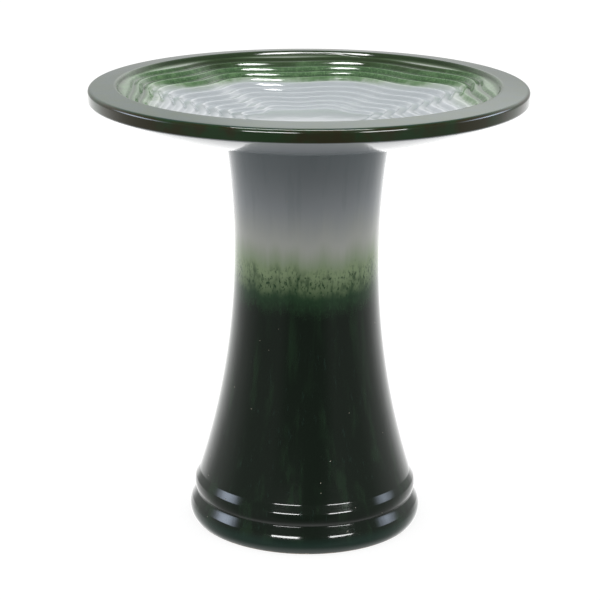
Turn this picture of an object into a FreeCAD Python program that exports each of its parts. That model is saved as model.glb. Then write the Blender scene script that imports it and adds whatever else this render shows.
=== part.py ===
# A glazed stoneware bird bath: a shallow round basin with a wavy, terraced bowl, which rests
# on a hollow, waisted pedestal. The basin is held by its weight and by a locating ring
# under it that drops into the pedestal's mouth. Millimetres, +Z up, origin at the middle of
# the pedestal's foot, on the ground.
import FreeCAD
import Part
import math
import os

V = FreeCAD.Vector

# ---- pedestal ---------------------------------------------------------------------------
PEDESTAL_HEIGHT = 480.0
WALL = 12.0                   # fired clay wall of the pedestal
WAIST_RADIUS = 87.3           # narrowest part of the shaft
WAIST_HEIGHT = 340.0
FLANK_RADIUS = 930.0          # the shaft's side is one arc of this radius
MOUTH_ROUNDING = 2.5          # rounded top edge

SHAFT_START_HEIGHT = 59.5     # crease where the shaft meets the upper base ring
UPPER_SHOULDER_STANDOUT = 5.0     # end of the sloped shoulder, beyond the shaft at the crease
UPPER_SHOULDER_HEIGHT = 50.0
UPPER_BEAD_STANDOUT = 6.1     # upper base ring at its widest
UPPER_BEAD_HEIGHT = 43.0
GROOVE_STANDOUT = 4.0         # groove between the two base rings
GROOVE_HEIGHT = 34.0
FOOT_SHOULDER_STANDOUT = 9.8      # end of the lower ring's sloped shoulder
FOOT_SHOULDER_HEIGHT = 23.5
FOOT_BEAD_STANDOUT = 12.3     # lower, larger base ring at its widest
FOOT_BEAD_HEIGHT = 13.0
FOOT_STANDOUT = 7.2           # where the foot meets the ground
CAVITY_FLARE = 3.0            # how much wider the cavity gets below the shaft's crease

# ---- seat -------------------------------------------------------------------------------
PAD_COUNT = 3
PAD_DIAMETER = 7.0
PAD_THICKNESS = 2.0
SEAT_GAP = 0.3                # air between the pads and the basin in the drawn position
RING_CLEARANCE = 3.5          # locating ring to the pedestal's mouth, all round
RING_WIDTH = 11.0
RING_DEPTH = 12.0
RING_ROUNDING = 2.5

# ---- basin ------------------------------------------------------------------------------
BASIN_DIAMETER = 520.0
BASIN_HEIGHT = 61.2           # from the seat face up to the lip's inner edge, before rounding
BAND_HEIGHT = 15.5            # upright outer band of the rim
RIM_ROUNDING = 5.0            # the rim's upper outer corner
BAND_FOOT_ROUNDING = 3.5
LIP_WIDTH = 33.0              # flat lip, crest to outer edge
LIP_FALL = 3.0                # the lip slopes down outwards by this much
CREST_ROUNDING = 5.5
SEAT_FACE_MARGIN = 6.0        # flat underside beyond the pedestal's rim
BELLY_SAG = 7.6               # how far the underside bows out from a straight cone

FLOOR_THICKNESS = 16.5
TERRACE_COUNT = 11            # wavy steps from the floor up to the round upper wall
INNER_CONTOUR = 77.0          # mean radius of the lowest step
UPPER_WALL_FOOT = 5.0         # the round upper wall starts this far inside the crest
CONTOUR_MARGIN = 1.5          # least land between the widest step and that wall
TERRACE_RISE = 38.0           # floor to the foot of the upper wall
TREAD_SHRINK = 0.2            # treads get narrower towards the lip by this share
STRAIGHT_SHARE = 0.3          # share of the rise that grows evenly, the rest as a square
LOBES = 8
LOBE_DEPTH = 0.065            # wave height of the lower steps, as a share of their radius
UPPER_LOBE_DEPTH = 0.026      # wave height of the highest step
LOBE_PHASE_DEG = 26.5         # direction of one lobe, from the X axis
CONTOUR_POINTS = 96

BASIN_RADIUS = BASIN_DIAMETER / 2.0
SEAT_HEIGHT = PEDESTAL_HEIGHT + PAD_THICKNESS + SEAT_GAP
CREST_HEIGHT = SEAT_HEIGHT + BASIN_HEIGHT
CREST_RADIUS = BASIN_RADIUS - LIP_WIDTH
FLOOR_HEIGHT = SEAT_HEIGHT + FLOOR_THICKNESS
UPPER_WALL_HEIGHT = FLOOR_HEIGHT + TERRACE_RISE


def shaft_radius(height, inset=0.0):
    """Radius of the shaft's side at a height, or of the surface inset from it."""
    arc = FLANK_RADIUS + inset
    return WAIST_RADIUS + FLANK_RADIUS - math.sqrt(arc ** 2 - (height - WAIST_HEIGHT) ** 2)


def shaft_arc(low, high, inset=0.0):
    """The arc of the shaft's side between two heights."""
    middle = (low + high) / 2.0
    return arc_through(*[(shaft_radius(z, inset), z) for z in (low, middle, high)])


def arc_through(*points):
    """A curve along the circle through three (radius, height) points."""
    return Part.Arc(*[V(x, 0, z) for x, z in points]).toBSpline().toShape()


def bowed_line(start, end, sag):
    """An arc between two points that bows away from the axis and down by sag."""
    run, rise = end[0] - start[0], end[1] - start[1]
    length = math.hypot(run, rise)
    middle = ((start[0] + end[0]) / 2.0 + sag * rise / length,
              (start[1] + end[1]) / 2.0 - sag * run / length)
    return arc_through(start, middle, end)


def polyline(points):
    """Straight edges through (radius, height) points."""
    vectors = [V(x, 0, z) for x, z in points]
    return [Part.makeLine(a, b) for a, b in zip(vectors, vectors[1:])]


def revolve(edges):
    """A solid of revolution about Z from the edges of a closed half-section."""
    wire = Part.Wire(Part.__sortEdges__(edges))
    solid = Part.Face(wire).revolve(V(0, 0, 0), V(0, 0, 1), 360)
    return solid if solid.ShapeType == "Solid" else solid.Solids[0]


def round_circles(solid, radius, height, rounding):
    """Round the circular edge of the solid at a radius and height."""
    edges = [e for e in solid.Edges
             if e.Curve.TypeId == "Part::GeomCircle"
             and abs(e.Curve.Radius - radius) < 0.01
             and abs(e.Curve.Center.z - height) < 0.01]
    return solid.makeFillet(rounding, edges)


def on_circle(radius, angle, height):
    return V(radius * math.cos(angle), radius * math.sin(angle), height)


# ---- pedestal ---------------------------------------------------------------------------
def make_pedestal():
    """Hollow shaft with two base rings, open at the mouth and under the foot."""
    mouth_radius = shaft_radius(PEDESTAL_HEIGHT)
    bore_radius = shaft_radius(PEDESTAL_HEIGHT, WALL)
    start_radius = shaft_radius(SHAFT_START_HEIGHT)
    crease = (start_radius, SHAFT_START_HEIGHT)
    shoulder = (start_radius + UPPER_SHOULDER_STANDOUT, UPPER_SHOULDER_HEIGHT)
    upper_bead = (start_radius + UPPER_BEAD_STANDOUT, UPPER_BEAD_HEIGHT)
    groove = (start_radius + GROOVE_STANDOUT, GROOVE_HEIGHT)
    foot_shoulder = (start_radius + FOOT_SHOULDER_STANDOUT, FOOT_SHOULDER_HEIGHT)
    foot_bead = (start_radius + FOOT_BEAD_STANDOUT, FOOT_BEAD_HEIGHT)
    foot = (start_radius + FOOT_STANDOUT, 0.0)
    cavity_crease = (shaft_radius(SHAFT_START_HEIGHT, WALL), SHAFT_START_HEIGHT)
    cavity_foot = (cavity_crease[0] + CAVITY_FLARE, 0.0)
    edges = [
        shaft_arc(SHAFT_START_HEIGHT, PEDESTAL_HEIGHT),
        arc_through(shoulder, upper_bead, groove),
        arc_through(foot_shoulder, foot_bead, foot),
        shaft_arc(SHAFT_START_HEIGHT, PEDESTAL_HEIGHT, WALL),
    ]
    edges += polyline([crease, shoulder])
    edges += polyline([groove, foot_shoulder])
    edges += polyline([foot, cavity_foot, cavity_crease])
    edges += polyline([(mouth_radius, PEDESTAL_HEIGHT), (bore_radius, PEDESTAL_HEIGHT)])
    solid = revolve(edges)
    for radius in (mouth_radius, bore_radius):
        solid = round_circles(solid, radius, PEDESTAL_HEIGHT, MOUTH_ROUNDING)
    return solid


def make_pad(index):
    """One clear rubber bumper, stuck to the pedestal's flat top edge."""
    angle = 2.0 * math.pi * index / PAD_COUNT + math.pi / 2.0
    ring_middle = shaft_radius(PEDESTAL_HEIGHT, WALL / 2.0)
    spot = on_circle(ring_middle, angle, PEDESTAL_HEIGHT)
    return Part.makeCylinder(PAD_DIAMETER / 2.0, PAD_THICKNESS, spot)


# ---- basin ------------------------------------------------------------------------------
def make_basin_blank():
    """The basin as turned: underside, rim, lip and the round upper wall, with no steps."""
    seat_edge = shaft_radius(PEDESTAL_HEIGHT) + SEAT_FACE_MARGIN
    lip_edge = (BASIN_RADIUS, CREST_HEIGHT - LIP_FALL)
    band_foot = (BASIN_RADIUS, CREST_HEIGHT - LIP_FALL - BAND_HEIGHT)
    wall_foot = (CREST_RADIUS - UPPER_WALL_FOOT, UPPER_WALL_HEIGHT)
    edges = [bowed_line((seat_edge, SEAT_HEIGHT), band_foot, BELLY_SAG)]
    edges += polyline([band_foot, lip_edge, (CREST_RADIUS, CREST_HEIGHT), wall_foot,
                       (0.0, UPPER_WALL_HEIGHT), (0.0, SEAT_HEIGHT), (seat_edge, SEAT_HEIGHT)])
    blank = revolve(edges)
    blank = round_circles(blank, *lip_edge, RIM_ROUNDING)
    blank = round_circles(blank, *band_foot, BAND_FOOT_ROUNDING)
    return round_circles(blank, CREST_RADIUS, CREST_HEIGHT, CREST_ROUNDING)


def contour_radius(share):
    """Mean radius of a step: share 0 is the lowest one and share 1 the highest."""
    outer = (CREST_RADIUS - UPPER_WALL_FOOT - CONTOUR_MARGIN) / (1.0 + UPPER_LOBE_DEPTH)
    spread = (1.0 + TREAD_SHRINK) * share - TREAD_SHRINK * share ** 2
    return INNER_CONTOUR + (outer - INNER_CONTOUR) * spread


def tread_height(share):
    """Height of the bowl at the foot of the step with this share."""
    spread = (contour_radius(share) - INNER_CONTOUR) / (contour_radius(1.0) - INNER_CONTOUR)
    rise = STRAIGHT_SHARE * spread + (1.0 - STRAIGHT_SHARE) * spread ** 2
    return FLOOR_HEIGHT + TERRACE_RISE * (TERRACE_COUNT - 1) / TERRACE_COUNT * rise


def lobe_depth(share):
    """Wave height of a step: even on the lower steps, dying away towards the lip."""
    return LOBE_DEPTH + (UPPER_LOBE_DEPTH - LOBE_DEPTH) * share ** 2


def make_step_cutter(share):
    """The lobed prism that one step leaves open above it."""
    mean = contour_radius(share)
    depth = lobe_depth(share)
    height = tread_height(share)
    points = []
    for i in range(CONTOUR_POINTS):
        angle = 2.0 * math.pi * i / CONTOUR_POINTS
        wave = math.cos(LOBES * (angle - math.radians(LOBE_PHASE_DEG)))
        points.append(on_circle(mean * (1.0 + depth * wave), angle, height))
    curve = Part.BSplineCurve()
    curve.interpolate(points, PeriodicFlag=True)
    face = Part.Face(Part.Wire(curve.toShape()))
    return face.extrude(V(0, 0, CREST_HEIGHT - height))


def make_locating_ring():
    """Ring under the basin that drops into the pedestal's mouth."""
    outer = shaft_radius(PEDESTAL_HEIGHT, WALL) - RING_CLEARANCE
    low = SEAT_HEIGHT - RING_DEPTH
    into_basin = FLOOR_THICKNESS / 4.0
    ring = revolve(polyline([
        (outer - RING_WIDTH, low), (outer, low), (outer, SEAT_HEIGHT + into_basin),
        (outer - RING_WIDTH, SEAT_HEIGHT + into_basin), (outer - RING_WIDTH, low)]))
    for radius in (outer, outer - RING_WIDTH):
        ring = round_circles(ring, radius, low, RING_ROUNDING)
    return ring


def make_basin():
    """The basin: the turned blank with its steps cut and the locating ring added."""
    solid = make_basin_blank()
    for i in range(TERRACE_COUNT):
        solid = solid.cut(make_step_cutter(i / (TERRACE_COUNT - 1.0)))
    return solid.fuse(make_locating_ring()).removeSplitter()


def main():
    os.makedirs("parts", exist_ok=True)
    nodes = {"pedestal": make_pedestal(), "basin": make_basin()}
    for index in range(PAD_COUNT):
        nodes["seat_pad_%d" % (index + 1)] = make_pad(index)
    for name, shape in nodes.items():
        solids = shape.Solids
        if len(solids) != 1 or not solids[0].isValid():
            raise ValueError(name + " is not one sound solid")
        solids[0].exportStep("parts/" + name + ".step")
        box = solids[0].BoundBox
        print(name, round(solids[0].Volume / 1000.0, 1), "cm3", box)


main()
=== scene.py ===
import math

import bpy
import numpy as np
from mathutils import Euler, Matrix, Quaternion, Vector


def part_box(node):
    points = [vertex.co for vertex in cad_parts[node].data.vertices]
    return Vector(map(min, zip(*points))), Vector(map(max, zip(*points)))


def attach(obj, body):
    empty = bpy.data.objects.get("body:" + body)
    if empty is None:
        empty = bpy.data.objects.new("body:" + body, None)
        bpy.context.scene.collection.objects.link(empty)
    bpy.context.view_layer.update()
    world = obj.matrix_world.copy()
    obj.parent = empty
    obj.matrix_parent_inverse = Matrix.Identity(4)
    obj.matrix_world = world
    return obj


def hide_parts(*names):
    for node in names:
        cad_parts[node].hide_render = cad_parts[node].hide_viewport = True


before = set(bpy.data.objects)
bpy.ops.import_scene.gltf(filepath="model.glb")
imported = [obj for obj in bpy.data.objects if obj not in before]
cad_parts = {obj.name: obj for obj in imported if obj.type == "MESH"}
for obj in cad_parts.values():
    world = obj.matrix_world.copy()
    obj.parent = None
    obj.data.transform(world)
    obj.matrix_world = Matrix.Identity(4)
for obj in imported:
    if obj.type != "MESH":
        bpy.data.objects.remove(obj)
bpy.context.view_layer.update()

bl_info = {
    "name": "Glazed Bird Bath",
    "version": (1, 0, 0),
    "blender": (4, 5, 0),
    "location": "View3D > Sidebar > Bird Bath",
    "description": "Builds the basin, the pedestal and the seat pads of a glazed bird bath",
    "category": "Object",
}

BASIN_LOW, BASIN_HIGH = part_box("basin")
PAD_NODES = ("seat_pad_1", "seat_pad_2", "seat_pad_3")
BASIN_RADIUS = (BASIN_HIGH[0] - BASIN_LOW[0]) / 2.0
CREST_HEIGHT = BASIN_HIGH[2]
PEDESTAL_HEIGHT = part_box("pedestal")[1][2]


# ---- sizes and colours that a user would change -----------------------------------------
def length(name, description, default):
    return bpy.props.FloatProperty(name=name, description=description, default=default,
                                   min=0.0, unit="LENGTH", precision=4)


def colour(name, description, default):
    return bpy.props.FloatVectorProperty(name=name, description=description, default=default,
                                         size=3, min=0.0, max=1.0, subtype="COLOR")


class BasinSizes(bpy.types.PropertyGroup):
    radius: length("Radius", "Outer radius of the rim", BASIN_RADIUS)
    crest_height: length("Crest height", "Height of the lip's inner edge", CREST_HEIGHT)
    ring_depth: length("Ring depth", "Depth of the locating ring", 0.012)
    ring_width: length("Ring width", "Width of the locating ring", 0.011)
    lip_width: length("Lip width", "Lip, from its crest to the outer edge", 0.033)
    lip_fall: length("Lip fall", "How far the lip slopes down outwards", 0.0030)
    band_height: length("Band height", "Upright outer band of the rim", 0.0155)
    belly_sag: length("Belly sag", "How far the underside bows out", 0.0076)
    floor_thickness: length("Floor thickness", "Clay under the bowl's floor", 0.0165)
    inner_contour: length("Lowest step", "Mean radius of the lowest step", 0.077)
    terrace_rise: length("Terrace rise", "Floor to the foot of the upper wall", 0.038)
    terraces: bpy.props.IntProperty(name="Steps", description="Wavy steps in the bowl",
                                    default=11, min=1)
    lobes: bpy.props.IntProperty(name="Waves", description="Waves round each step",
                                 default=8, min=1)


class PedestalSizes(bpy.types.PropertyGroup):
    height: length("Height", "Foot to mouth", PEDESTAL_HEIGHT)
    wall: length("Wall", "Clay wall of the shaft", 0.012)
    waist_radius: length("Waist radius", "Narrowest part of the shaft", 0.0873)
    waist_height: length("Waist height", "Height of the narrowest part", 0.340)
    flank_radius: length("Flank radius", "Radius of the arc of the shaft's side", 0.930)
    start_height: length("Crease height", "Where the shaft meets the upper ring", 0.0595)


class GlazeColours(bpy.types.PropertyGroup):
    pale: colour("Pale glaze", "Lavender grey of the bowl's floor and the upper shaft",
                 (0.50, 0.535, 0.56))
    # Real pooled pale glaze in gutters and streaks; the same colour also paints shade at the top
    # of the shaft and on the basin's underside near the seat.
    shadow: colour("Pooled pale glaze and painted shade", "Pale glaze where it lies thick in a gutter",
                   (0.30, 0.35, 0.37))
    # A warmer tint, and painted light: lighter than the pale glaze, where the lower shaft is out
    # of the basin's shade.
    warm_and_lit: colour("Warm, lighter pale glaze", "Pale glaze just above the break on the shaft",
                 (0.62, 0.64, 0.595))
    sage: colour("Sage", "Where the pale and the green glaze run into each other",
                 (0.32, 0.43, 0.24))
    mint: colour("Mint", "Specks of lighter glaze on the green steps", (0.17, 0.31, 0.14))
    olive: colour("Olive", "Thin green glaze", (0.19, 0.275, 0.14))
    green: colour("Green", "Green glaze", (0.026, 0.070, 0.030))
    deep: colour("Deep green", "Green glaze where it is thick", (0.006, 0.014, 0.007))
    lip: colour("Lip green", "Thinner green glaze on top of the lip", (0.022, 0.056, 0.042))
    band: colour("Band green", "Green glaze on the rim's outer band", (0.022, 0.055, 0.020))
    brown: colour("Brown edge", "Glaze that burnt brown along the rim", (0.036, 0.034, 0.013))
    clay: colour("Bare clay", "Unglazed stoneware", (0.62, 0.54, 0.43))
    rubber: colour("Pad rubber", "Clear rubber of the seat pads", (0.62, 0.64, 0.62))


# ---- mesh helpers -----------------------------------------------------------------------
def smooth_step(value):
    value = np.clip(value, 0.0, 1.0)
    return value * value * (3.0 - 2.0 * value)


def corner_arc(before, corner, after, radius, count):
    """Points of the arc that rounds a corner of a (radius, height) outline."""
    p, c, q = (np.array(v, dtype=float) for v in (before, corner, after))
    to_p = (p - c) / np.linalg.norm(p - c)
    to_q = (q - c) / np.linalg.norm(q - c)
    half = math.acos(float(np.clip(to_p @ to_q, -1.0, 1.0))) / 2.0
    reach = radius / math.tan(half)
    middle = (to_p + to_q) / np.linalg.norm(to_p + to_q)
    centre = c + middle * radius / math.sin(half)
    start, end = c + to_p * reach - centre, c + to_q * reach - centre
    first, last = math.atan2(start[1], start[0]), math.atan2(end[1], end[0])
    turn = (last - first + math.pi) % (2.0 * math.pi) - math.pi
    angles = [first + turn * i / (count - 1) for i in range(count)]
    return [tuple(centre + radius * np.array((math.cos(a), math.sin(a)))) for a in angles]


def three_point_arc(start, through, end, count):
    """Evenly spaced points of the arc through three (radius, height) points."""
    (ax, ay), (bx, by), (cx, cy) = start, through, end
    d = 2.0 * (ax * (by - cy) + bx * (cy - ay) + cx * (ay - by))
    a2, b2, c2 = ax * ax + ay * ay, bx * bx + by * by, cx * cx + cy * cy
    ux = (a2 * (by - cy) + b2 * (cy - ay) + c2 * (ay - by)) / d
    uy = (a2 * (cx - bx) + b2 * (ax - cx) + c2 * (bx - ax)) / d
    radius = math.hypot(ax - ux, ay - uy)
    first = math.atan2(ay - uy, ax - ux)
    middle = math.atan2(by - uy, bx - ux)
    last = math.atan2(cy - uy, cx - ux)
    to_middle = (middle - first + math.pi) % (2.0 * math.pi) - math.pi
    to_last = (last - middle + math.pi) % (2.0 * math.pi) - math.pi
    turn = to_middle + to_last
    steps = [first + turn * i / (count - 1) for i in range(count)]
    return [(ux + radius * math.cos(a), uy + radius * math.sin(a)) for a in steps]


def straight(start, end, count):
    """Points between two outline points, without the two ends."""
    return [(start[0] + (end[0] - start[0]) * i / (count + 1),
             start[1] + (end[1] - start[1]) * i / (count + 1)) for i in range(1, count + 1)]


def lathe(name, rows, columns, closed_top, closed_bottom, attributes=None):
    """A mesh from rings. A row is (radius, height), each one number or one for each column.

    A closed end gets one point on the axis. attributes maps a name to one value per row."""
    angles = np.arange(columns) * 2.0 * math.pi / columns
    radii = np.array([np.broadcast_to(r, (columns,)) for r, z in rows])
    heights = np.array([np.broadcast_to(z, (columns,)) for r, z in rows])
    points = np.stack([radii * np.cos(angles), radii * np.sin(angles), heights], axis=2)
    vertices = points.reshape(-1, 3).tolist()
    faces = []
    count = len(rows)
    for i in range(count - 1):
        low, high = i * columns, (i + 1) * columns
        for j in range(columns):
            k = (j + 1) % columns
            faces.append((low + j, high + j, high + k, low + k))
    if closed_top:
        vertices.append((0.0, 0.0, float(heights[0].mean())))
        tip = len(vertices) - 1
        faces += [(tip, j, (j + 1) % columns) for j in range(columns)]
    if closed_bottom:
        vertices.append((0.0, 0.0, float(heights[-1].mean())))
        tip, last = len(vertices) - 1, (count - 1) * columns
        faces += [(tip, last + (j + 1) % columns, last + j) for j in range(columns)]
    if not closed_top and not closed_bottom:
        last = (count - 1) * columns
        faces += [(last + j, j, (j + 1) % columns, last + (j + 1) % columns)
                  for j in range(columns)]
    mesh = bpy.data.meshes.new(name)
    mesh.from_pydata(vertices, [], faces)
    for label, values in (attributes or {}).items():
        full = np.repeat(np.array(values, dtype=np.float32), columns)
        full = np.concatenate([full, [values[0]] if closed_top else [],
                               [values[-1]] if closed_bottom else []])
        layer = mesh.attributes.new(label, "FLOAT", "POINT")
        layer.data.foreach_set("value", full.astype(np.float32))
    mesh.shade_smooth()
    mesh.update()
    piece = bpy.data.objects.new(name, mesh)
    bpy.context.scene.collection.objects.link(piece)
    return piece


# ---- basin ------------------------------------------------------------------------------
UPPER_WALL_FOOT = 0.005       # the round upper wall starts this far inside the crest
STEP_SOFTNESS = 0.0016        # a riser's half-width is this plus RISER_SHARE of its rise
RISER_SHARE = 0.32
BEAD_HEIGHT = 0.00030         # low bead along the top of a riser
GUTTER_DEPTH = 0.00030        # shallow gutter along the foot of a riser
CONTOUR_MARGIN = 0.0015       # from an even wave on the highest step to the upper wall
TREAD_SHRINK = 0.2            # how much narrower the treads get outwards
STRAIGHT_SHARE = 0.3          # share of the bowl's rise that is even; the rest is curved
LOBE_DEPTH = 0.065            # how far a wave reaches over the mean radius, lowest step
UPPER_LOBE_DEPTH = 0.026      # the same at the highest step
LOBE_PHASE = math.radians(26.5)
SEAT_MARGIN = 0.006           # flat seat outside the pedestal's mouth
RING_CLEARANCE = 0.0035       # between the locating ring and the pedestal's mouth
BASIN_COLUMNS = 416
CREST_ROUNDING = 0.0055
CREST_CUT = 0.00026           # the rounding takes this much off the lip's inner corner
RIM_ROUNDING = 0.0050
BAND_FOOT_ROUNDING = 0.0035
RING_ROUNDING = 0.0025
RING_ROOT_ROUNDING = 0.0012   # outside the ring, where it meets the seat
RING_INNER_ROOT_ROUNDING = 0.002


def contour_radius(sizes, share):
    """Mean radius of a step: share 0 is the lowest one and share 1 the highest."""
    crest = sizes.radius - sizes.lip_width
    outer = (crest - UPPER_WALL_FOOT - CONTOUR_MARGIN) / (1.0 + UPPER_LOBE_DEPTH)
    spread = (1.0 + TREAD_SHRINK) * share - TREAD_SHRINK * share ** 2
    return sizes.inner_contour + (outer - sizes.inner_contour) * spread


def tread_height(sizes, share):
    """Height of the bowl at the foot of the step with this share."""
    inner, outer = contour_radius(sizes, 0.0), contour_radius(sizes, 1.0)
    spread = (contour_radius(sizes, share) - inner) / (outer - inner)
    rise = STRAIGHT_SHARE * spread + (1.0 - STRAIGHT_SHARE) * spread ** 2
    floor = seat_height(sizes) + sizes.floor_thickness
    return floor + sizes.terrace_rise * (sizes.terraces - 1) / sizes.terraces * rise


def seat_height(sizes):
    return BASIN_LOW[2] + sizes.ring_depth


def corner_height(sizes):
    """Height of the lip's inner corner before it is rounded."""
    return sizes.crest_height + CREST_CUT


def wave(sizes, angles):
    """The wave round a step, a little uneven, as cut by hand into the mould."""
    lean = 0.10 * np.sin(2.0 * angles + 0.7) + 0.07 * np.sin(3.0 * angles - 1.1)
    swell = 1.0 + 0.16 * np.sin(angles + 0.4) + 0.12 * np.sin(3.0 * angles + 2.0)
    return swell * np.cos(sizes.lobes * (angles - LOBE_PHASE) + lean * 3.0)


def lobe_depth(sizes, mean):
    """Wave height at a mean radius: it dies away at the centre and towards the lip."""
    inner, outer = contour_radius(sizes, 0.0), contour_radius(sizes, 1.0)
    crest = sizes.radius - sizes.lip_width
    share = np.clip((mean - inner) / (outer - inner), 0.0, 1.0)
    depth = LOBE_DEPTH + (UPPER_LOBE_DEPTH - LOBE_DEPTH) * share ** 2
    at_centre = smooth_step(mean / inner)
    at_crest = 1.0 - smooth_step((mean - outer) / (crest - outer))
    return depth * at_centre * at_crest


def bowl_profile(sizes, mean):
    """Height at a mean radius, and how much the glaze pools or thins there.

    The steps have soft edges: each rises to a low bead and starts from a shallow gutter."""
    shares = [i / (sizes.terraces - 1.0) for i in range(sizes.terraces)]
    levels = [tread_height(sizes, s) for s in shares]
    levels.append(seat_height(sizes) + sizes.floor_thickness + sizes.terrace_rise)
    height, pool, ridge = levels[0], 0.0, 0.0
    for i, share in enumerate(shares):
        rise = levels[i + 1] - levels[i]
        width = STEP_SOFTNESS + RISER_SHARE * rise
        at = (mean - contour_radius(sizes, share)) / width
        height += rise * float(smooth_step(0.5 + 0.5 * at))
        bead = math.exp(-((at - 1.7) / 1.0) ** 2)
        gutter = math.exp(-((at + 1.5) / 0.9) ** 2)
        height += BEAD_HEIGHT * bead - GUTTER_DEPTH * gutter
        pool, ridge = max(pool, gutter), max(ridge, bead)
    return height, pool, ridge


def bowl_means(sizes):
    """Mean radii of the bowl's rings, close together over each step."""
    offsets = (-0.0042, -0.0028, -0.0020, -0.0013, -0.0007, 0.0, 0.0007, 0.0013, 0.0020,
               0.0028, 0.0042)
    inner = contour_radius(sizes, 0.0)
    means = [inner * i / 9.0 for i in range(1, 9)]
    for i in range(sizes.terraces):
        centre = contour_radius(sizes, i / (sizes.terraces - 1.0))
        means += [centre + o for o in offsets]
    return sorted(means)


def basin_rows(sizes):
    """Rings of the whole basin, from the bowl's centre over the rim to the underside, and
    what its glaze reads at each: contour (the mean radius), pool and ridge.

    A slice leaves out the points of a run that the roundings beside it replace."""
    angles = np.arange(BASIN_COLUMNS) * 2.0 * math.pi / BASIN_COLUMNS
    waves = wave(sizes, angles)
    rows, contour, pools, ridges = [], [], [], []
    for mean in bowl_means(sizes):
        height, pool, ridge = bowl_profile(sizes, mean)
        rows.append((mean * (1.0 + lobe_depth(sizes, mean) * waves), height))
        contour.append(mean)
        pools.append(pool)
        ridges.append(ridge)
    crest = (sizes.radius - sizes.lip_width, corner_height(sizes))
    edge = (sizes.radius, corner_height(sizes) - sizes.lip_fall)
    band_foot = (sizes.radius, edge[1] - sizes.band_height)
    wall_foot = (crest[0] - UPPER_WALL_FOOT, seat_height(sizes) + sizes.floor_thickness
                 + sizes.terrace_rise)
    seat_edge = (shaft_radius(bpy.context.scene.pedestal_sizes, PEDESTAL_HEIGHT) + SEAT_MARGIN,
                 seat_height(sizes))
    run, rise = band_foot[0] - seat_edge[0], band_foot[1] - seat_edge[1]
    slope = math.hypot(run, rise)
    belly = ((seat_edge[0] + band_foot[0]) / 2.0 + sizes.belly_sag * rise / slope,
             (seat_edge[1] + band_foot[1]) / 2.0 - sizes.belly_sag * run / slope)
    underside = three_point_arc(band_foot, belly, seat_edge, 30)
    outline = straight(wall_foot, crest, 6)[1:3]
    outline += corner_arc(wall_foot, crest, edge, CREST_ROUNDING, 12)
    outline += straight(crest, edge, 14)[3:-4]
    outline += corner_arc(crest, edge, band_foot, RIM_ROUNDING, 14)
    lip_rings = len(outline)
    outline += straight(edge, band_foot, 14)[9:-4]
    outline += corner_arc(edge, band_foot, underside[3], BAND_FOOT_ROUNDING, 9)
    outline += underside[2:]
    ring_outer = ring_outer_radius(sizes)
    ring_inner = ring_outer - sizes.ring_width
    low = BASIN_LOW[2]
    seat = seat_height(sizes)
    outline += straight(seat_edge, (ring_outer, seat), 3)
    outline += corner_arc(seat_edge, (ring_outer, seat), (ring_outer, low),
                          RING_ROOT_ROUNDING, 5)
    outline += corner_arc((ring_outer, seat), (ring_outer, low), (ring_inner, low),
                          RING_ROUNDING, 7)
    outline += corner_arc((ring_outer, low), (ring_inner, low), (ring_inner, seat),
                          RING_ROUNDING, 7)
    outline += corner_arc((ring_inner, low), (ring_inner, seat), (0.0, seat),
                          RING_INNER_ROOT_ROUNDING, 5)
    outline += [(ring_inner * i / 6.0, seat) for i in range(5, 0, -1)]
    rows += outline
    contour += [max(r, crest[0]) for r, z in outline[:lip_rings]]
    contour += [sizes.radius] * (len(outline) - lip_rings)
    quiet = [0.0] * len(outline)
    return rows, {"contour": contour, "pool": pools + quiet, "ridge": ridges + quiet}


def ring_outer_radius(sizes):
    """Outer radius of the locating ring: the pedestal's mouth less its clearance."""
    pedestal = bpy.context.scene.pedestal_sizes
    return shaft_radius(pedestal, PEDESTAL_HEIGHT, pedestal.wall) - RING_CLEARANCE


# ---- pedestal ---------------------------------------------------------------------------
PEDESTAL_COLUMNS = 288
MOUTH_ROUNDING = 0.0025
SHOULDER_ROUNDING = 0.009
CREASE_ROUNDING = 0.0065
GROOVE_ROUNDING = 0.0020
FOOT_ROUNDING = 0.0012
CAVITY_EDGE_ROUNDING = 0.0015
CAVITY_FLARE = 0.003
# Stand-out from the shaft's radius at the crease, and height: shoulder and bead of the upper
# ring, groove, shoulder and bead of the foot ring, foot.
RING_PROFILE = ((0.0050, 0.0500), (0.0061, 0.0430), (0.0040, 0.0340), (0.0098, 0.0235),
                (0.0123, 0.0130), (0.0072, 0.0))


def shaft_radius(sizes, height, inset=0.0):
    arc = sizes.flank_radius + inset
    fall = math.sqrt(arc ** 2 - (height - sizes.waist_height) ** 2)
    return sizes.waist_radius + sizes.flank_radius - fall


def ring_points(sizes):
    """Corners of the base rings as (radius, height), from the crease down to the foot."""
    start = shaft_radius(sizes, sizes.start_height)
    return [(start + standout, height) for standout, height in RING_PROFILE]


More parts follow.
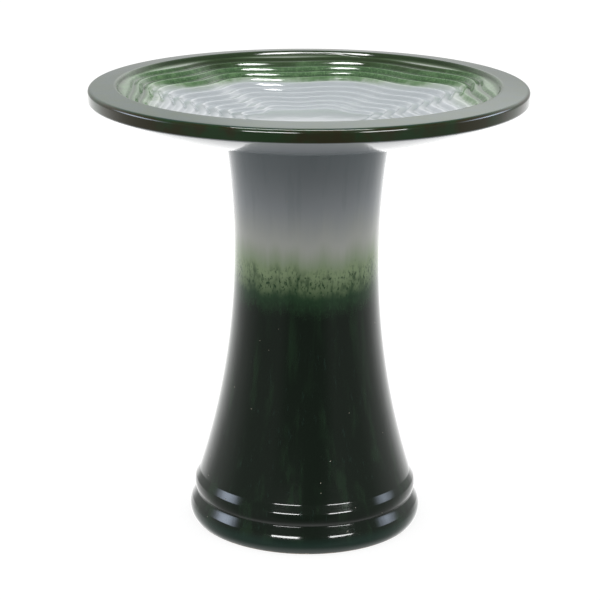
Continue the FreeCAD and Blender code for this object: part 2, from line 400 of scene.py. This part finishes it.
def pedestal_outline(sizes):
    """Closed half-section of the pedestal, from the outer mouth edge down and back up."""
    crease = (shaft_radius(sizes, sizes.start_height), sizes.start_height)
    shoulder, bead, groove, foot_shoulder, foot_bead, foot = ring_points(sizes)
    inner_crease = (shaft_radius(sizes, sizes.start_height, sizes.wall), sizes.start_height)
    inner_foot = (inner_crease[0] + CAVITY_FLARE, 0.0)
    mouth = (shaft_radius(sizes, sizes.height), sizes.height)
    bore = (shaft_radius(sizes, sizes.height, sizes.wall), sizes.height)
    below = (shaft_radius(sizes, sizes.height - 0.01), sizes.height - 0.01)
    bore_below = (shaft_radius(sizes, sizes.height - 0.01, sizes.wall), sizes.height - 0.01)
    outline = corner_arc(bore, mouth, below, MOUTH_ROUNDING, 7)
    top, low, count = sizes.height - 0.004, sizes.start_height + 0.0025, 90
    for i in range(count):
        height = top + (low - top) * i / (count - 1)
        outline.append((shaft_radius(sizes, height), height))
    upper = three_point_arc(shoulder, bead, groove, 26)
    lower = three_point_arc(foot_shoulder, foot_bead, foot, 34)
    outline += corner_arc(outline[-1], crease, shoulder, CREASE_ROUNDING, 9)
    outline += straight(crease, shoulder, 8)[3:-2]
    outline += corner_arc(crease, shoulder, upper[4], SHOULDER_ROUNDING, 11)
    outline += upper[5:-4]
    outline += corner_arc(upper[-5], groove, foot_shoulder, GROOVE_ROUNDING, 9)
    outline += straight(groove, foot_shoulder, 10)[2:-2]
    outline += corner_arc(groove, foot_shoulder, lower[4], SHOULDER_ROUNDING, 11)
    outline += lower[7:-1]
    outline += corner_arc(lower[-4], foot, inner_foot, FOOT_ROUNDING, 5)
    outline += straight(foot, inner_foot, 2)
    outline += corner_arc(foot, inner_foot, inner_crease, CAVITY_EDGE_ROUNDING, 5)
    outline += straight(inner_foot, inner_crease, 3)
    for i in range(24):
        height = low + (sizes.height - 0.006 - low) * i / 23.0
        outline.append((shaft_radius(sizes, height, sizes.wall), height))
    outline += corner_arc(bore_below, bore, mouth, MOUTH_ROUNDING, 7)
    return outline


# ---- where the glazes meet --------------------------------------------------------------
# Mean radii in the bowl: where each change begins, and where it is complete.
SAGE_IN_BOWL = (0.160, 0.182)
IN_GREEN = (0.172, 0.186)
MINT_IN_BOWL = (0.174, 0.184)
GREEN_IN_BOWL = (0.176, 0.187)
FLECKS_FADE = (0.204, 0.226)
BROWN_IN_BOWL = (0.206, 0.226)
DEEP_IN_BOWL = (0.204, 0.228)
# Distances from the axis between which the shade painted on the underside fades out. It is
# part of the glaze's colour, so it stays when the basin is lifted.
UNDERSIDE_SHADE = (0.13, 0.22)
# Heights on the pedestal: where each change begins, and where it is complete.
# Painted shade: the pale glaze darkens towards the top of the shaft, below the basin.
SHADE_BELOW_BASIN = (0.400, 0.478)
# Below this the pale glaze turns warmer and is painted lighter, out of the basin's shade.
WARM_AND_LIT_LEVEL = (0.418, 0.362)
SAGE_LEVEL = (0.372, 0.332)
OLIVE_LEVEL = (0.334, 0.314)
GREEN_LEVEL = (0.318, 0.300)
DEEP_LEVEL = (0.308, 0.276)
SPECKLED = ((0.272, 0.300), (0.346, 0.324))    # the band's lower edge and its upper edge
IN_DEEP = (0.300, 0.262)
FOOT_TINT = (0.012, 0.024)
BARE_FOOT = (0.0020, 0.0032)
GLAZE_IOR = 1.52


# ---- shader helpers ---------------------------------------------------------------------
class Graph:
    """A short way to write shader nodes down."""

    def __init__(self, tree):
        self.tree = tree

    def node(self, kind, **inputs):
        made = self.tree.nodes.new(kind)
        for key, value in inputs.items():
            self.put(made, key, value)
        return made

    def put(self, made, key, value):
        name = key.replace("_", " ")
        socket = made.inputs[int(key[1:])] if key[0] == "i" and key[1:].isdigit() \
            else made.inputs[name]
        if isinstance(value, bpy.types.NodeSocket):
            self.tree.links.new(value, socket)
        else:
            socket.default_value = value

    def math(self, operation, a, b=0.0, clamp=False):
        made = self.node("ShaderNodeMath", i0=a, i1=b)
        made.operation = operation
        made.use_clamp = clamp
        return made.outputs[0]

    def ramp(self, value, low, high, out_low=0.0, out_high=1.0):
        """Smoothly takes a value from one range to another."""
        made = self.node("ShaderNodeMapRange", i0=value)
        made.interpolation_type = "SMOOTHSTEP"
        for name, number in (("From Min", low), ("From Max", high),
                             ("To Min", out_low), ("To Max", out_high)):
            self.put(made, name, number)
        return made.outputs[0]

    def mix(self, factor, a, b, blend="MIX"):
        made = self.tree.nodes.new("ShaderNodeMix")
        made.data_type = "RGBA"
        made.blend_type = blend
        self.put(made, "i0", factor)
        self.put(made, "i6", a if isinstance(a, bpy.types.NodeSocket) else (*a, 1.0))
        self.put(made, "i7", b if isinstance(b, bpy.types.NodeSocket) else (*b, 1.0))
        return made.outputs[2]

    def noise(self, vector, scale, detail=2.0, roughness=0.5):
        made = self.node("ShaderNodeTexNoise", Vector=vector, Scale=scale, Detail=detail,
                         Roughness=roughness)
        return made.outputs["Fac"]

    def stretched(self, vector, scale):
        made = self.node("ShaderNodeMapping", Vector=vector, Scale=scale)
        return made.outputs["Vector"]

    def place(self):
        return self.node("ShaderNodeTexCoord").outputs["Object"]

    def attribute(self, name):
        made = self.node("ShaderNodeAttribute")
        made.attribute_name = name
        return made.outputs["Fac"]


def build_group(name, inputs, outputs, fill):
    """Makes a shader node group once, with named sockets, and returns it."""
    if name in bpy.data.node_groups:
        return bpy.data.node_groups[name]
    tree = bpy.data.node_groups.new(name, "ShaderNodeTree")
    for label, kind, default in inputs:
        socket = tree.interface.new_socket(label, in_out="INPUT", socket_type=kind)
        if default is not None:
            socket.default_value = default
    for label, kind in outputs:
        tree.interface.new_socket(label, in_out="OUTPUT", socket_type=kind)
    start, end = tree.nodes.new("NodeGroupInput"), tree.nodes.new("NodeGroupOutput")
    results = fill(Graph(tree), start.outputs)
    for label, value in results.items():
        tree.links.new(value, end.inputs[label])
    return tree


def glaze_surface_group():
    """Height of a poured glaze: slow ripples, fine orange peel, vertical runs, pinholes."""
    def fill(g, given):
        spot = given["Vector"]
        slow = g.noise(spot, 26.0, 2.0)
        peel = g.noise(spot, 420.0, 1.0)
        runs = g.noise(g.stretched(spot, (70.0, 70.0, 5.0)), 1.0, 2.0)
        cells = g.node("ShaderNodeTexVoronoi", Vector=spot, Scale=95.0)
        holes = g.ramp(cells.outputs["Distance"], 0.0, 0.085, 1.0, 0.0)
        rare = g.math("GREATER_THAN", g.node("ShaderNodeSeparateColor",
                      i0=cells.outputs["Color"]).outputs[0], given["Pinhole Rarity"])
        pinholes = g.math("MULTIPLY", holes, rare)
        height = g.math("MULTIPLY", slow, given["Ripple"])
        height = g.math("ADD", height, g.math("MULTIPLY", peel, given["Peel"]))
        height = g.math("ADD", height, g.math("MULTIPLY", runs, given["Runs"]))
        height = g.math("SUBTRACT", height, g.math("MULTIPLY", pinholes, 0.35))
        return {"Height": height, "Pinholes": pinholes, "Run Pattern": runs}
    return build_group(
        "Poured glaze surface",
        [("Vector", "NodeSocketVector", None), ("Ripple", "NodeSocketFloat", 0.5),
         ("Peel", "NodeSocketFloat", 0.02), ("Runs", "NodeSocketFloat", 0.3),
         ("Pinhole Rarity", "NodeSocketFloat", 0.9)],
        [("Height", "NodeSocketFloat"), ("Pinholes", "NodeSocketFloat"),
         ("Run Pattern", "NodeSocketFloat")], fill)


def speckle_group():
    """Mask of the fine mottling where a glaze breaks: specks of two sizes."""
    def fill(g, given):
        spot = given["Vector"]
        fine = g.ramp(g.noise(spot, given["Scale"], 3.0, 0.65), 0.50, 0.66)
        coarse_scale = g.math("MULTIPLY", given["Scale"], 0.33)
        coarse = g.ramp(g.noise(spot, coarse_scale, 2.0, 0.6), 0.48, 0.70)
        both = g.math("MAXIMUM", fine, g.math("MULTIPLY", coarse, 0.7))
        return {"Mask": g.math("MULTIPLY", both, given["Amount"], clamp=True)}
    return build_group(
        "Glaze speckle",
        [("Vector", "NodeSocketVector", None), ("Scale", "NodeSocketFloat", 400.0),
         ("Amount", "NodeSocketFloat", 1.0)],
        [("Mask", "NodeSocketFloat")], fill)


def use_group(g, group, **values):
    made = g.tree.nodes.new("ShaderNodeGroup")
    made.node_tree = group
    for key, value in values.items():
        g.put(made, key, value)
    return made


def new_material(name):
    """A material with only a Principled shader. Returns it, its Graph and the shader."""
    made = bpy.data.materials.new(name)
    made.use_nodes = True
    tree = made.node_tree
    return made, Graph(tree), tree.nodes["Principled BSDF"]


def finish_glaze(g, shader, base, height, roughness, strength, distance):
    """Connects a glaze's colour, roughness and height to its shader."""
    bump = g.node("ShaderNodeBump", Strength=strength, Distance=distance, Height=height)
    g.put(shader, "Base Color", base)
    g.put(shader, "Roughness", roughness)
    g.put(shader, "Normal", bump.outputs["Normal"])
    shader.inputs["IOR"].default_value = GLAZE_IOR


def basin_glaze():
    """Pale floor, mottled green terraces, dark rim, pale underside, bare ring."""
    colours = bpy.context.scene.glaze_colours
    sizes = bpy.context.scene.basin_sizes
    made, g, shader = new_material("basin_glaze")
    spot = g.place()
    axes = g.node("ShaderNodeSeparateXYZ", Vector=spot).outputs
    height = axes["Z"]
    radius = g.attribute("contour")
    pool, ridge = g.attribute("pool"), g.attribute("ridge")
    wander = g.math("SUBTRACT", g.noise(spot, 22.0, 3.0), 0.5)
    fine = g.math("SUBTRACT", g.noise(spot, 130.0, 2.0), 0.5)
    mean = g.math("ADD", radius, g.math("MULTIPLY", wander, 0.026))
    mean = g.math("ADD", mean, g.math("MULTIPLY", fine, 0.008))
    # The green glaze ran further down at the back than at the sides.
    mean = g.math("ADD", mean, g.ramp(axes["Y"], 0.08, 0.18, 0.0, 0.013))
    beside = g.math("ABSOLUTE", axes["X"])
    mean = g.math("ADD", mean, g.ramp(beside, 0.12, 0.19, 0.0, -0.011))
    specks = use_group(g, speckle_group(), Vector=spot, Scale=420.0, Amount=0.9)
    in_green = g.ramp(mean, *IN_GREEN)
    base = g.mix(g.ramp(mean, *SAGE_IN_BOWL, 0.0, 0.6), colours.pale, colours.sage)
    base = g.mix(g.ramp(mean, *MINT_IN_BOWL), base, colours.mint)
    base = g.mix(g.ramp(mean, *GREEN_IN_BOWL, 0.0, 0.68), base, colours.green)
    mottled = g.math("MULTIPLY", specks.outputs["Mask"], in_green)
    mottled = g.math("MULTIPLY", mottled, g.ramp(mean, *FLECKS_FADE, 1.0, 0.25))
    base = g.mix(mottled, base, colours.mint)
    base = g.mix(g.ramp(mean, *BROWN_IN_BOWL, 0.0, 0.6), base, colours.brown)
    base = g.mix(g.ramp(mean, *DEEP_IN_BOWL, 0.0, 0.40), base, colours.deep)
    base = g.mix(g.math("MULTIPLY", pool, g.math("MULTIPLY", in_green, 0.85)), base,
                 colours.deep)
    base = g.mix(g.math("MULTIPLY", ridge, g.math("MULTIPLY", in_green, 0.25)), base,
                 colours.mint)
    in_pale = g.math("SUBTRACT", 1.0, in_green)
    base = g.mix(g.math("MULTIPLY", pool, g.math("MULTIPLY", in_pale, 0.45)), base,
                 colours.shadow)
    crest = sizes.radius - sizes.lip_width
    brushed = g.noise(g.stretched(spot, (60.0, 60.0, 400.0)), 1.0, 4.0, 0.6)
    lip = g.mix(g.ramp(brushed, 0.35, 0.65), colours.lip, colours.band)
    base = g.mix(g.ramp(radius, crest - 0.001, crest + 0.003), base, lip)
    outside = g.math("GREATER_THAN", radius, sizes.radius - 0.002)
    base = g.mix(outside, base, colours.band)
    band_low = corner_height(sizes) - sizes.lip_fall - sizes.band_height
    under = g.math("MULTIPLY", outside, g.ramp(height, band_low - 0.0005, band_low + 0.0015,
                                               1.0, 0.0))
    browned = g.math("MULTIPLY", outside, g.ramp(g.noise(spot, 14.0, 4.0, 0.6), 0.42, 0.58))
    base = g.mix(browned, base, colours.brown)
    base = g.mix(under, base, colours.pale)
    from_axis = g.node("ShaderNodeVectorMath", i0=g.stretched(spot, (1.0, 1.0, 0.0)))
    from_axis.operation = "LENGTH"
    shade = g.ramp(from_axis.outputs["Value"], *UNDERSIDE_SHADE, 0.8, 0.0)
    base = g.mix(g.math("MULTIPLY", under, shade), base, colours.shadow)
    seat = seat_height(sizes)
    bare = g.ramp(height, seat - 0.006, seat - 0.003, 1.0, 0.0)
    base = g.mix(bare, base, colours.clay)
    surface = use_group(g, glaze_surface_group(), Vector=spot, Ripple=0.5, Peel=0.010,
                        Runs=0.0, Pinhole_Rarity=0.93)
    rough = g.math("ADD", g.math("MULTIPLY", bare, 0.6), 0.09)
    finish_glaze(g, shader, base, surface.outputs["Height"], rough, 0.35, 0.0012)
    return made


def pedestal_glaze():
    """Pale top, sage and olive break with runs, deep green below, bare foot."""
    colours = bpy.context.scene.glaze_colours
    made, g, shader = new_material("pedestal_glaze")
    spot = g.place()
    height = g.node("ShaderNodeSeparateXYZ", Vector=spot).outputs["Z"]
    runs = g.noise(g.stretched(spot, (85.0, 85.0, 9.0)), 1.0, 3.0)
    slow = g.noise(g.stretched(spot, (14.0, 14.0, 4.0)), 1.0, 2.0)
    level = g.math("ADD", height, g.math("MULTIPLY", g.math("SUBTRACT", runs, 0.5), 0.022))
    level = g.math("ADD", level, g.math("MULTIPLY", g.math("SUBTRACT", slow, 0.5), 0.012))
    dashes = g.stretched(spot, (1.0, 1.0, 0.55))
    specks = use_group(g, speckle_group(), Vector=dashes, Scale=330.0, Amount=1.0)
    # Painted shade below the basin: the top of the shaft is mixed towards the pooled glaze
    # colour.
    pale_top = g.mix(g.ramp(height, *SHADE_BELOW_BASIN, 0.0, 0.6), colours.pale, colours.shadow)
    veins = g.ramp(g.noise(g.stretched(spot, (95.0, 95.0, 3.5)), 1.0, 3.0, 0.6), 0.50, 0.68)
    pale_top = g.mix(g.math("MULTIPLY", veins, 0.22), pale_top, colours.shadow)
    # Painted light: the lower pale shaft is warmer in tint and painted lighter, away from the
    # basin's shade.
    pale_low = g.mix(g.ramp(level, *WARM_AND_LIT_LEVEL), pale_top, colours.warm_and_lit)
    base = g.mix(g.ramp(level, *SAGE_LEVEL), pale_low, colours.sage)
    base = g.mix(g.ramp(level, *OLIVE_LEVEL), base, colours.olive)
    base = g.mix(g.ramp(level, *GREEN_LEVEL), base, colours.green)
    base = g.mix(g.ramp(level, *DEEP_LEVEL), base, colours.deep)
    inside_band = g.math("MULTIPLY", g.ramp(level, *SPECKLED[0]), g.ramp(level, *SPECKLED[1]))
    base = g.mix(g.math("MULTIPLY", specks.outputs["Mask"], inside_band), base, colours.green)
    in_deep = g.ramp(level, *IN_DEEP)
    streaks = g.ramp(g.noise(g.stretched(spot, (46.0, 46.0, 2.2)), 1.0, 3.0, 0.6), 0.50, 0.66)
    base = g.mix(g.math("MULTIPLY", g.math("MULTIPLY", streaks, in_deep), 0.30), base,
                 colours.green)
    drips = g.ramp(g.noise(g.stretched(spot, (210.0, 210.0, 26.0)), 1.0, 3.0, 0.7), 0.60, 0.72)
    base = g.mix(g.math("MULTIPLY", g.math("MULTIPLY", drips, in_deep), 0.35), base,
                 colours.lip)
    surface = use_group(g, glaze_surface_group(), Vector=spot, Ripple=0.5, Peel=0.012,
                        Runs=0.30, Pinhole_Rarity=0.80)
    base = g.mix(surface.outputs["Pinholes"], base, colours.clay)
    base = g.mix(g.ramp(height, *FOOT_TINT, 0.75, 0.0), base, colours.lip)
    ragged = g.math("ADD", height, g.math("MULTIPLY", g.noise(spot, 90.0, 2.0), 0.003))
    bare = g.ramp(ragged, *BARE_FOOT, 1.0, 0.0)
    base = g.mix(bare, base, colours.clay)
    rough = g.math("ADD", g.math("MULTIPLY", bare, 0.6), 0.09)
    finish_glaze(g, shader, base, surface.outputs["Height"], rough, 0.35, 0.0012)
    return made


def pad_rubber():
    """Clear, slightly cloudy rubber."""
    colours = bpy.context.scene.glaze_colours
    made, g, shader = new_material("pad_rubber")
    spot = g.place()
    cloud = g.noise(spot, 500.0, 2.0)
    base = g.mix(g.ramp(cloud, 0.35, 0.65), colours.rubber,
                 [0.86 * c for c in colours.rubber])
    g.put(shader, "Base Color", base)
    g.put(shader, "Roughness", g.ramp(cloud, 0.3, 0.7, 0.28, 0.42))
    return made


# ---- operators --------------------------------------------------------------------------
class BIRDBATH_OT_basin(bpy.types.Operator):
    """Builds the basin: terraced bowl, lip, band, underside and locating ring"""
    bl_idname = "birdbath.basin"
    bl_label = "Basin"

    def execute(self, context):
        rows, attributes = basin_rows(context.scene.basin_sizes)
        piece = lathe("basin_glazed", rows, BASIN_COLUMNS, True, True, attributes)
        piece.data.materials.append(basin_glaze())
        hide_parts("basin")
        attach(piece, "basin")
        return {"FINISHED"}


class BIRDBATH_OT_pedestal(bpy.types.Operator):
    """Builds the pedestal: waisted hollow shaft, base rings and foot"""
    bl_idname = "birdbath.pedestal"
    bl_label = "Pedestal"

    def execute(self, context):
        outline = pedestal_outline(context.scene.pedestal_sizes)
        piece = lathe("pedestal_glazed", outline, PEDESTAL_COLUMNS, False, False)
        piece.data.materials.append(pedestal_glaze())
        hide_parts("pedestal")
        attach(piece, "pedestal")
        return {"FINISHED"}


class BIRDBATH_OT_pads(bpy.types.Operator):
    """Builds the three rubber seat pads, each a low dome"""
    bl_idname = "birdbath.pads"
    bl_label = "Seat pads"

    def execute(self, context):
        rubber = pad_rubber()
        for node in PAD_NODES:
            low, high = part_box(node)
            radius, top = (high[0] - low[0]) / 2.0, high[2] - low[2]
            outline = [(radius * 0.25, top), (radius * 0.5, top * 0.985)]
            outline += corner_arc((0.0, top), (radius, top), (radius, 0.0), top * 0.6, 9)
            outline += corner_arc((radius, top), (radius, 0.0), (0.0, 0.0), top * 0.1, 4)
            outline += [(radius * 0.5, 0.0)]
            pad = lathe(node + "_rubber", outline, 48, True, True)
            centre = Vector(((low[0] + high[0]) / 2.0, (low[1] + high[1]) / 2.0, low[2]))
            for vertex in pad.data.vertices:
                vertex.co += centre
            pad.data.materials.append(rubber)
            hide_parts(node)
            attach(pad, "pedestal")
        return {"FINISHED"}


# Lights round the object: name, bearing from the front in degrees, width, depth,
# power, share of the width and depth over which the light fades out, and tint.
WHITE, BLUISH = (1.0, 1.0, 1.0), (0.72, 0.82, 1.0)
RING_LIGHTS = (("front_left", -18.0, 1.37, 0.55, 55.0, 0.04, WHITE),
               ("front_right", 37.0, 1.20, 0.55, 46.0, 0.04, WHITE),
               ("side_left", -93.0, 2.60, 1.10, 90.0, 0.5, BLUISH),
               ("side_right", 101.0, 2.60, 1.10, 90.0, 0.5, BLUISH))
RING_LIGHT_DISTANCE = 2.8
RING_LIGHT_HEIGHT = 1.12
AIM_POINT = (0.0, 0.0, 0.30)
FLOOR_REACH = 30.0
CAMERA_PLACE = (0.0, -2.270, 0.960)
CAMERA_TILT_DOWN = math.radians(16.795)
CAMERA_YAW = math.radians(2.22)
CAMERA_ROLL = math.radians(-0.12)
LENS_MM = 116.6
LENS_SHIFT = 0.11


def aim(thing, target):
    """Turns an object's -Z axis towards a point."""
    thing.rotation_euler = (Vector(target) - thing.location).to_track_quat("-Z", "Y").to_euler()


def softbox(name, place, target, width, depth, power, edge=0.04, tint=WHITE):
    """A rectangular studio light that fades out over a share of its width and depth."""
    light = bpy.data.lights.new(name, "AREA")
    light.shape = "RECTANGLE"
    light.size, light.size_y, light.energy = width, depth, power
    light.use_nodes = True
    g = Graph(light.node_tree)
    across = g.node("ShaderNodeSeparateXYZ",
                    Vector=g.node("ShaderNodeNewGeometry").outputs["Parametric"])
    level = 1.0
    for side in ("X", "Y"):
        away = g.math("SUBTRACT", 0.5, g.math("ABSOLUTE", g.math("SUBTRACT",
                                                                 across.outputs[side], 0.5)))
        level = g.math("MULTIPLY", level, g.ramp(away, 0.0, edge))
    g.put(light.node_tree.nodes["Emission"], "Strength", level)
    g.put(light.node_tree.nodes["Emission"], "Color", (*tint, 1.0))
    made = bpy.data.objects.new(name, light)
    made.location = place
    bpy.context.scene.collection.objects.link(made)
    aim(made, target)
    return made


def studio_world():
    """A dim room with a white sweep behind. The glaze mirrors one studio, and its colour is
    lit by a slightly different one: with a soft light from above the front, a bright ceiling
    and less light from below, where the floor, which only the camera sees, shades nothing."""
    world = bpy.data.worlds.new("studio")
    world.use_nodes = True
    g = Graph(world.node_tree)
    world.node_tree.nodes.clear()
    way = g.node("ShaderNodeSeparateXYZ",
                 Vector=g.node("ShaderNodeTexCoord").outputs["Generated"])
    back, rise = way.outputs["Y"], way.outputs["Z"]
    rays = g.node("ShaderNodeLightPath").outputs
    # 1 for the light on the glaze's colour and 0 for what it mirrors
    matt = g.math("SUBTRACT", 1.0, rays["Is Glossy Ray"])
    veil = g.math("SUBTRACT", 1.0, g.math("MULTIPLY", matt, 0.75))
    # The room, brighter beside and behind the object than in front of it
    level = g.math("ADD", g.ramp(back, -0.95, -0.75, 0.12, 0.24),
                   g.ramp(back, -0.35, 0.35, 0.0, 0.25))
    # The sweep, dark at the horizon. What the glaze mirrors is also darker high on the left
    left = g.ramp(way.outputs["X"], -0.10, -0.02, 0.45, 1.0)
    high = g.math("MULTIPLY", g.ramp(rise, 0.06, 0.42, 0.0, 0.8),
                  g.math("MAXIMUM", matt, left))
    low = g.math("MULTIPLY", g.ramp(rise, -0.22, -0.04, 0.9, 0.1), veil)
    sweep = g.math("MULTIPLY", g.math("ADD", low, high), g.ramp(back, 0.2, 1.0, 0.0, 1.25))
    level = g.math("ADD", level, sweep)
    # The dark ceiling that the glaze mirrors
    zenith = g.ramp(rise, 0.35, 0.75, 1.0, 0.30)
    level = g.math("MULTIPLY", level, g.math("MAXIMUM", zenith, matt))
    # The soft light from above the front
    brow = g.math("MULTIPLY", g.ramp(rise, 0.30, 0.60), g.ramp(rise, 0.60, 0.90, 1.0, 0.2))
    brow = g.math("MULTIPLY", brow, g.ramp(back, 0.2, 0.8, 1.70, 0.0))
    level = g.math("ADD", level, g.math("MULTIPLY", brow, matt))
    # The lit floor, mirrored more than it lights the colour
    under = g.ramp(rise, -0.97, -0.62, 0.7, 0.0)
    level = g.math("ADD", level, g.math("MULTIPLY", veil, under))
    lit = g.node("ShaderNodeBackground", Color=(1.0, 1.0, 1.0, 1.0), Strength=level)
    seen = g.node("ShaderNodeBackground", Color=(1.0, 1.0, 1.0, 1.0), Strength=1.02)
    both = g.node("ShaderNodeMixShader", i0=rays["Is Camera Ray"], i1=lit.outputs[0],
                  i2=seen.outputs[0])
    out = g.node("ShaderNodeOutputWorld", Surface=both.outputs[0])
    out.is_active_output = True
    bpy.context.scene.world = world


def floor_material():
    """Pale seamless floor, lit from below like a light table, that only the camera sees: the
    studio's own light and dark, and not a sheet of bounced white, shows in the glaze."""
    made, g, shader = new_material("studio_floor")
    grain = g.ramp(g.noise(g.place(), 3.0, 2.0), 0.3, 0.7, 0.24, 0.26)
    g.put(shader, "Base Color", g.node("ShaderNodeCombineColor", i0=grain, i1=grain,
                                       i2=grain).outputs[0])
    shader.inputs["Roughness"].default_value = 1.0
    shader.inputs["Specular IOR Level"].default_value = 0.0
    shader.inputs["Emission Color"].default_value = (1.0, 1.0, 1.0, 1.0)
    shader.inputs["Emission Strength"].default_value = 0.82
    seen = g.node("ShaderNodeLightPath").outputs["Is Camera Ray"]
    clear = g.node("ShaderNodeBsdfTransparent")
    both = g.node("ShaderNodeMixShader", i0=seen, i1=clear.outputs[0], i2=shader.outputs[0])
    g.put(made.node_tree.nodes["Material Output"], "Surface", both.outputs[0])
    return made


class BIRDBATH_OT_stage(bpy.types.Operator):
    """Builds the pale floor, the studio lights and the camera"""
    bl_idname = "birdbath.stage"
    bl_label = "Stage"

    def execute(self, context):
        mesh = bpy.data.meshes.new("floor")
        r = FLOOR_REACH
        mesh.from_pydata([(-r, -r, 0.0), (r, -r, 0.0), (r, r, 0.0), (-r, r, 0.0)], [],
                         [(0, 1, 2, 3)])
        mesh.materials.append(floor_material())
        floor = bpy.data.objects.new("floor", mesh)
        context.scene.collection.objects.link(floor)
        studio_world()
        fill = softbox("top_fill", (0.0, 0.10, 2.2), AIM_POINT, 1.2, 1.0, 4.0)
        fill.visible_glossy = False
        glare = softbox("top_strip", (-0.05, -0.42, 2.2), AIM_POINT, 1.50, 0.16, 26.0)
        glare.visible_diffuse = False
        for name, bearing, width, depth, power, edge, tint in RING_LIGHTS:
            turn = math.radians(bearing)
            place = (RING_LIGHT_DISTANCE * math.sin(turn), -RING_LIGHT_DISTANCE * math.cos(turn),
                     RING_LIGHT_HEIGHT)
            light = softbox(name, place, AIM_POINT, width, depth, power, edge, tint)
            light.visible_diffuse = False
        place_camera(context.scene)
        context.scene.view_settings.view_transform = "Standard"
        return {"FINISHED"}


def place_camera(scene):
    """A long lens from above the front, looking down at the pedestal's upper half."""
    data = bpy.data.cameras.new("camera")
    data.sensor_width = 36.0
    data.lens = LENS_MM
    data.shift_x = LENS_SHIFT
    camera = bpy.data.objects.new("camera", data)
    camera.location = CAMERA_PLACE
    camera.rotation_mode = "QUATERNION"
    look = Euler((math.pi / 2.0 - CAMERA_TILT_DOWN, 0.0, CAMERA_YAW), "XYZ").to_quaternion()
    camera.rotation_quaternion = look @ Quaternion((0.0, 0.0, 1.0), CAMERA_ROLL)
    scene.collection.objects.link(camera)
    scene.camera = camera


class BIRDBATH_PT_panel(bpy.types.Panel):
    """Lists the operators and the sizes and colours that they use"""
    bl_label = "Bird Bath"
    bl_idname = "BIRDBATH_PT_panel"
    bl_space_type = "VIEW_3D"
    bl_region_type = "UI"
    bl_category = "Bird Bath"

    def draw(self, context):
        layout = self.layout
        for operator in OPERATORS:
            layout.operator(operator.bl_idname)
        for group in (context.scene.basin_sizes, context.scene.pedestal_sizes,
                      context.scene.glaze_colours):
            box = layout.box()
            for name in group.bl_rna.properties.keys():
                if name not in ("rna_type", "name"):
                    box.prop(group, name)


OPERATORS = (BIRDBATH_OT_pedestal, BIRDBATH_OT_pads, BIRDBATH_OT_basin, BIRDBATH_OT_stage)
GROUPS = (BasinSizes, PedestalSizes, GlazeColours)


def register():
    for item in GROUPS + OPERATORS + (BIRDBATH_PT_panel,):
        bpy.utils.register_class(item)
    bpy.types.Scene.basin_sizes = bpy.props.PointerProperty(type=BasinSizes)
    bpy.types.Scene.pedestal_sizes = bpy.props.PointerProperty(type=PedestalSizes)
    bpy.types.Scene.glaze_colours = bpy.props.PointerProperty(type=GlazeColours)


def unregister():
    del bpy.types.Scene.basin_sizes
    del bpy.types.Scene.pedestal_sizes
    del bpy.types.Scene.glaze_colours
    for item in reversed(GROUPS + OPERATORS + (BIRDBATH_PT_panel,)):
        bpy.utils.unregister_class(item)


def main():
    register()
    bpy.ops.birdbath.pedestal()
    bpy.ops.birdbath.pads()
    bpy.ops.birdbath.basin()
    bpy.ops.birdbath.stage()


if __name__ == "__main__":
    main()
